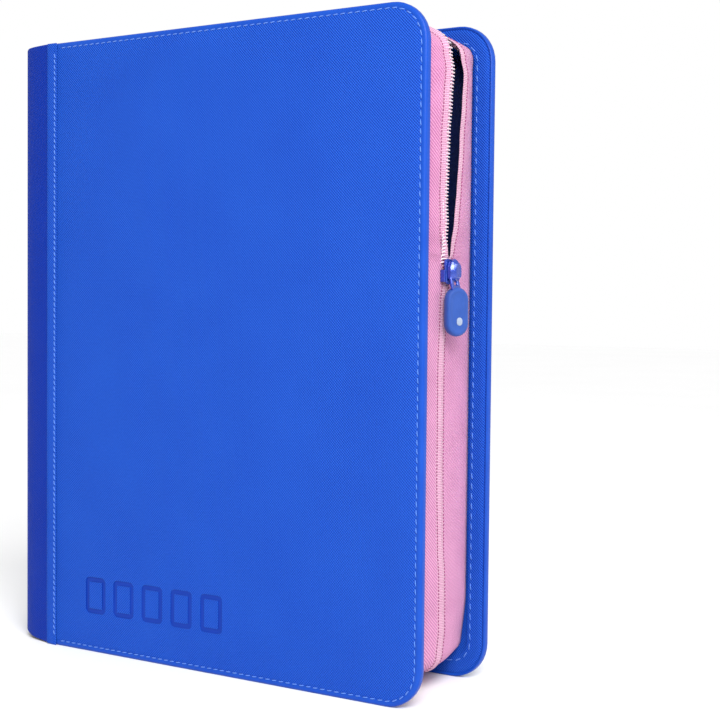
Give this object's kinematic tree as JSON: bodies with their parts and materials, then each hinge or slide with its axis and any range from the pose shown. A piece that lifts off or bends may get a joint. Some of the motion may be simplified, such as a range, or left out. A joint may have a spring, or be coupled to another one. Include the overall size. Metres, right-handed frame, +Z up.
{
  "type": "zip-round card binder",
  "caption": "Padded leather-look card binder with a zip round three sides, a folding spine and side-loading pocket pages inside.",
  "frame": {"origin": "on the floor, midway between the covers' spine and zip edges and midway between the covers", "axes": "+Z up the binder's height, +X from the spine to the zip, the front cover faces -Y"},
  "size_m": [0.2868, 0.076, 0.355],
  "materials": {
    "cover_leather": "woven-grain PU leather, satin",
    "spine_leather": "woven-grain PU leather, satin",
    "lining_fabric": "smooth lining cloth",
    "padding_foam": "foam sheet",
    "board": "grey-brown board",
    "zip_tape": "twill tape",
    "zip_coil": "nylon coil",
    "zip_stop": "pressed metal",
    "slider_metal": "glossy enamel",
    "grip_rubber": "moulded rubber, matte",
    "page_film": "black page with clear film pockets"
  },
  "bodies": {
    "back_cover": {"back_skin": "cover_leather", "back_gutter_skin": "spine_leather", "back_padding": "padding_foam", "back_board": "board", "back_lining": "lining_fabric", "back_tape": "zip_tape", "back_coil": "zip_coil", "top_stop_back": "zip_stop"},
    "spine": {"spine_skin": "spine_leather", "spine_board": "board", "spine_lining": "lining_fabric", "page_binding": "page_film", "top_end_tab": "zip_tape", "bottom_end_tab": "zip_tape", "bottom_stop": "zip_stop"},
    "front_cover": {"front_skin": "cover_leather", "front_gutter_skin": "spine_leather", "front_padding": "padding_foam", "front_board": "board", "front_lining": "lining_fabric", "front_tape": "zip_tape", "front_coil": "zip_coil", "top_stop_front": "zip_stop"},
    "slider": {"slider_body": "slider_metal", "slider_bail": "slider_metal"},
    "pull": {"pull_link": "slider_metal", "pull_grip": "grip_rubber"},
    "page_01": {"page_01": "page_film"},
    "page_02": {"page_02": "page_film"},
    "page_03": {"page_03": "page_film"},
    "page_04": {"page_04": "page_film"},
    "page_05": {"page_05": "page_film"},
    "page_06": {"page_06": "page_film"},
    "page_07": {"page_07": "page_film"},
    "page_08": {"page_08": "page_film"},
    "page_09": {"page_09": "page_film"},
    "page_10": {"page_10": "page_film"},
    "page_11": {"page_11": "page_film"},
    "page_12": {"page_12": "page_film"},
    "page_13": {"page_13": "page_film"},
    "page_14": {"page_14": "page_film"},
    "page_15": {"page_15": "page_film"},
    "page_16": {"page_16": "page_film"},
    "page_17": {"page_17": "page_film"},
    "page_18": {"page_18": "page_film"},
    "page_19": {"page_19": "page_film"},
    "page_20": {"page_20": "page_film"}
  },
  "joints": [
    {"name": "back_fold", "type": "hinge", "parent": "back_cover", "child": "spine", "pos_m": [-0.13771, 0.03371, 0.1775], "axis": [0, 0, -1], "range_deg": [0, 90]},
    {"name": "front_fold", "type": "hinge", "parent": "spine", "child": "front_cover", "pos_m": [-0.13771, -0.03371, 0.1775], "axis": [0, 0, -1], "range_deg": [0, 90]},
    {"name": "slider_travel", "type": "slide", "parent": "back_cover", "child": "slider", "axis": [0, 0, 1], "range_m": [-0.17, 0.095]},
    {"name": "pull_swing", "type": "hinge", "parent": "slider", "child": "pull", "pos_m": [0.1373, 0, 0.2215], "axis": [0, -1, 0], "range_deg": [0, 150]},
    {"name": "page_01_turn", "type": "hinge", "parent": "spine", "child": "page_01", "pos_m": [-0.1307, -0.0285, 0.1775], "axis": [0, 0, -1], "range_deg": [0, 81]},
    {"name": "page_02_turn", "type": "hinge", "parent": "spine", "child": "page_02", "pos_m": [-0.1307, -0.0255, 0.1775], "axis": [0, 0, -1], "range_deg": [0, 81]},
    {"name": "page_03_turn", "type": "hinge", "parent": "spine", "child": "page_03", "pos_m": [-0.1307, -0.0225, 0.1775], "axis": [0, 0, -1], "range_deg": [0, 81]},
    {"name": "page_04_turn", "type": "hinge", "parent": "spine", "child": "page_04", "pos_m": [-0.1307, -0.0195, 0.1775], "axis": [0, 0, -1], "range_deg": [0, 81]},
    {"name": "page_05_turn", "type": "hinge", "parent": "spine", "child": "page_05", "pos_m": [-0.1307, -0.0165, 0.1775], "axis": [0, 0, -1], "range_deg": [0, 81]},
    {"name": "page_06_turn", "type": "hinge", "parent": "spine", "child": "page_06", "pos_m": [-0.1307, -0.0135, 0.1775], "axis": [0, 0, -1], "range_deg": [0, 81]},
    {"name": "page_07_turn", "type": "hinge", "parent": "spine", "child": "page_07", "pos_m": [-0.1307, -0.0105, 0.1775], "axis": [0, 0, -1], "range_deg": [0, 81]},
    {"name": "page_08_turn", "type": "hinge", "parent": "spine", "child": "page_08", "pos_m": [-0.1307, -0.0075, 0.1775], "axis": [0, 0, -1], "range_deg": [0, 81]},
    {"name": "page_09_turn", "type": "hinge", "parent": "spine", "child": "page_09", "pos_m": [-0.1307, -0.0045, 0.1775], "axis": [0, 0, -1], "range_deg": [0, 81]},
    {"name": "page_10_turn", "type": "hinge", "parent": "spine", "child": "page_10", "pos_m": [-0.1307, -0.0015, 0.1775], "axis": [0, 0, -1], "range_deg": [0, 81]},
    {"name": "page_11_turn", "type": "hinge", "parent": "spine", "child": "page_11", "pos_m": [-0.1307, 0.0015, 0.1775], "axis": [0, 0, -1], "range_deg": [-81, 0]},
    {"name": "page_12_turn", "type": "hinge", "parent": "spine", "child": "page_12", "pos_m": [-0.1307, 0.0045, 0.1775], "axis": [0, 0, -1], "range_deg": [-81, 0]},
    {"name": "page_13_turn", "type": "hinge", "parent": "spine", "child": "page_13", "pos_m": [-0.1307, 0.0075, 0.1775], "axis": [0, 0, -1], "range_deg": [-81, 0]},
    {"name": "page_14_turn", "type": "hinge", "parent": "spine", "child": "page_14", "pos_m": [-0.1307, 0.0105, 0.1775], "axis": [0, 0, -1], "range_deg": [-81, 0]},
    {"name": "page_15_turn", "type": "hinge", "parent": "spine", "child": "page_15", "pos_m": [-0.1307, 0.0135, 0.1775], "axis": [0, 0, -1], "range_deg": [-81, 0]},
    {"name": "page_16_turn", "type": "hinge", "parent": "spine", "child": "page_16", "pos_m": [-0.1307, 0.0165, 0.1775], "axis": [0, 0, -1], "range_deg": [-81, 0]},
    {"name": "page_17_turn", "type": "hinge", "parent": "spine", "child": "page_17", "pos_m": [-0.1307, 0.0195, 0.1775], "axis": [0, 0, -1], "range_deg": [-81, 0]},
    {"name": "page_18_turn", "type": "hinge", "parent": "spine", "child": "page_18", "pos_m": [-0.1307, 0.0225, 0.1775], "axis": [0, 0, -1], "range_deg": [-81, 0]},
    {"name": "page_19_turn", "type": "hinge", "parent": "spine", "child": "page_19", "pos_m": [-0.1307, 0.0255, 0.1775], "axis": [0, 0, -1], "range_deg": [-81, 0]},
    {"name": "page_20_turn", "type": "hinge", "parent": "spine", "child": "page_20", "pos_m": [-0.1307, 0.0285, 0.1775], "axis": [0, 0, -1], "range_deg": [-81, 0]}
  ],
  "couplings": [
    {"joint": "page_01_turn", "follows": "front_fold", "ratio": 0.88889},
    {"joint": "page_02_turn", "follows": "front_fold", "ratio": 0.85556},
    {"joint": "page_03_turn", "follows": "front_fold", "ratio": 0.82222},
    {"joint": "page_04_turn", "follows": "front_fold", "ratio": 0.78889},
    {"joint": "page_05_turn", "follows": "front_fold", "ratio": 0.75556},
    {"joint": "page_06_turn", "follows": "front_fold", "ratio": 0.72222},
    {"joint": "page_07_turn", "follows": "front_fold", "ratio": 0.68889},
    {"joint": "page_08_turn", "follows": "front_fold", "ratio": 0.65556},
    {"joint": "page_09_turn", "follows": "front_fold", "ratio": 0.62222},
    {"joint": "page_10_turn", "follows": "front_fold", "ratio": 0.58889},
    {"joint": "page_11_turn", "follows": "back_fold", "ratio": -0.58889},
    {"joint": "page_12_turn", "follows": "back_fold", "ratio": -0.62222},
    {"joint": "page_13_turn", "follows": "back_fold", "ratio": -0.65556},
    {"joint": "page_14_turn", "follows": "back_fold", "ratio": -0.68889},
    {"joint": "page_15_turn", "follows": "back_fold", "ratio": -0.72222},
    {"joint": "page_16_turn", "follows": "back_fold", "ratio": -0.75556},
    {"joint": "page_17_turn", "follows": "back_fold", "ratio": -0.78889},
    {"joint": "page_18_turn", "follows": "back_fold", "ratio": -0.82222},
    {"joint": "page_19_turn", "follows": "back_fold", "ratio": -0.85556},
    {"joint": "page_20_turn", "follows": "back_fold", "ratio": -0.88889}
  ]
}
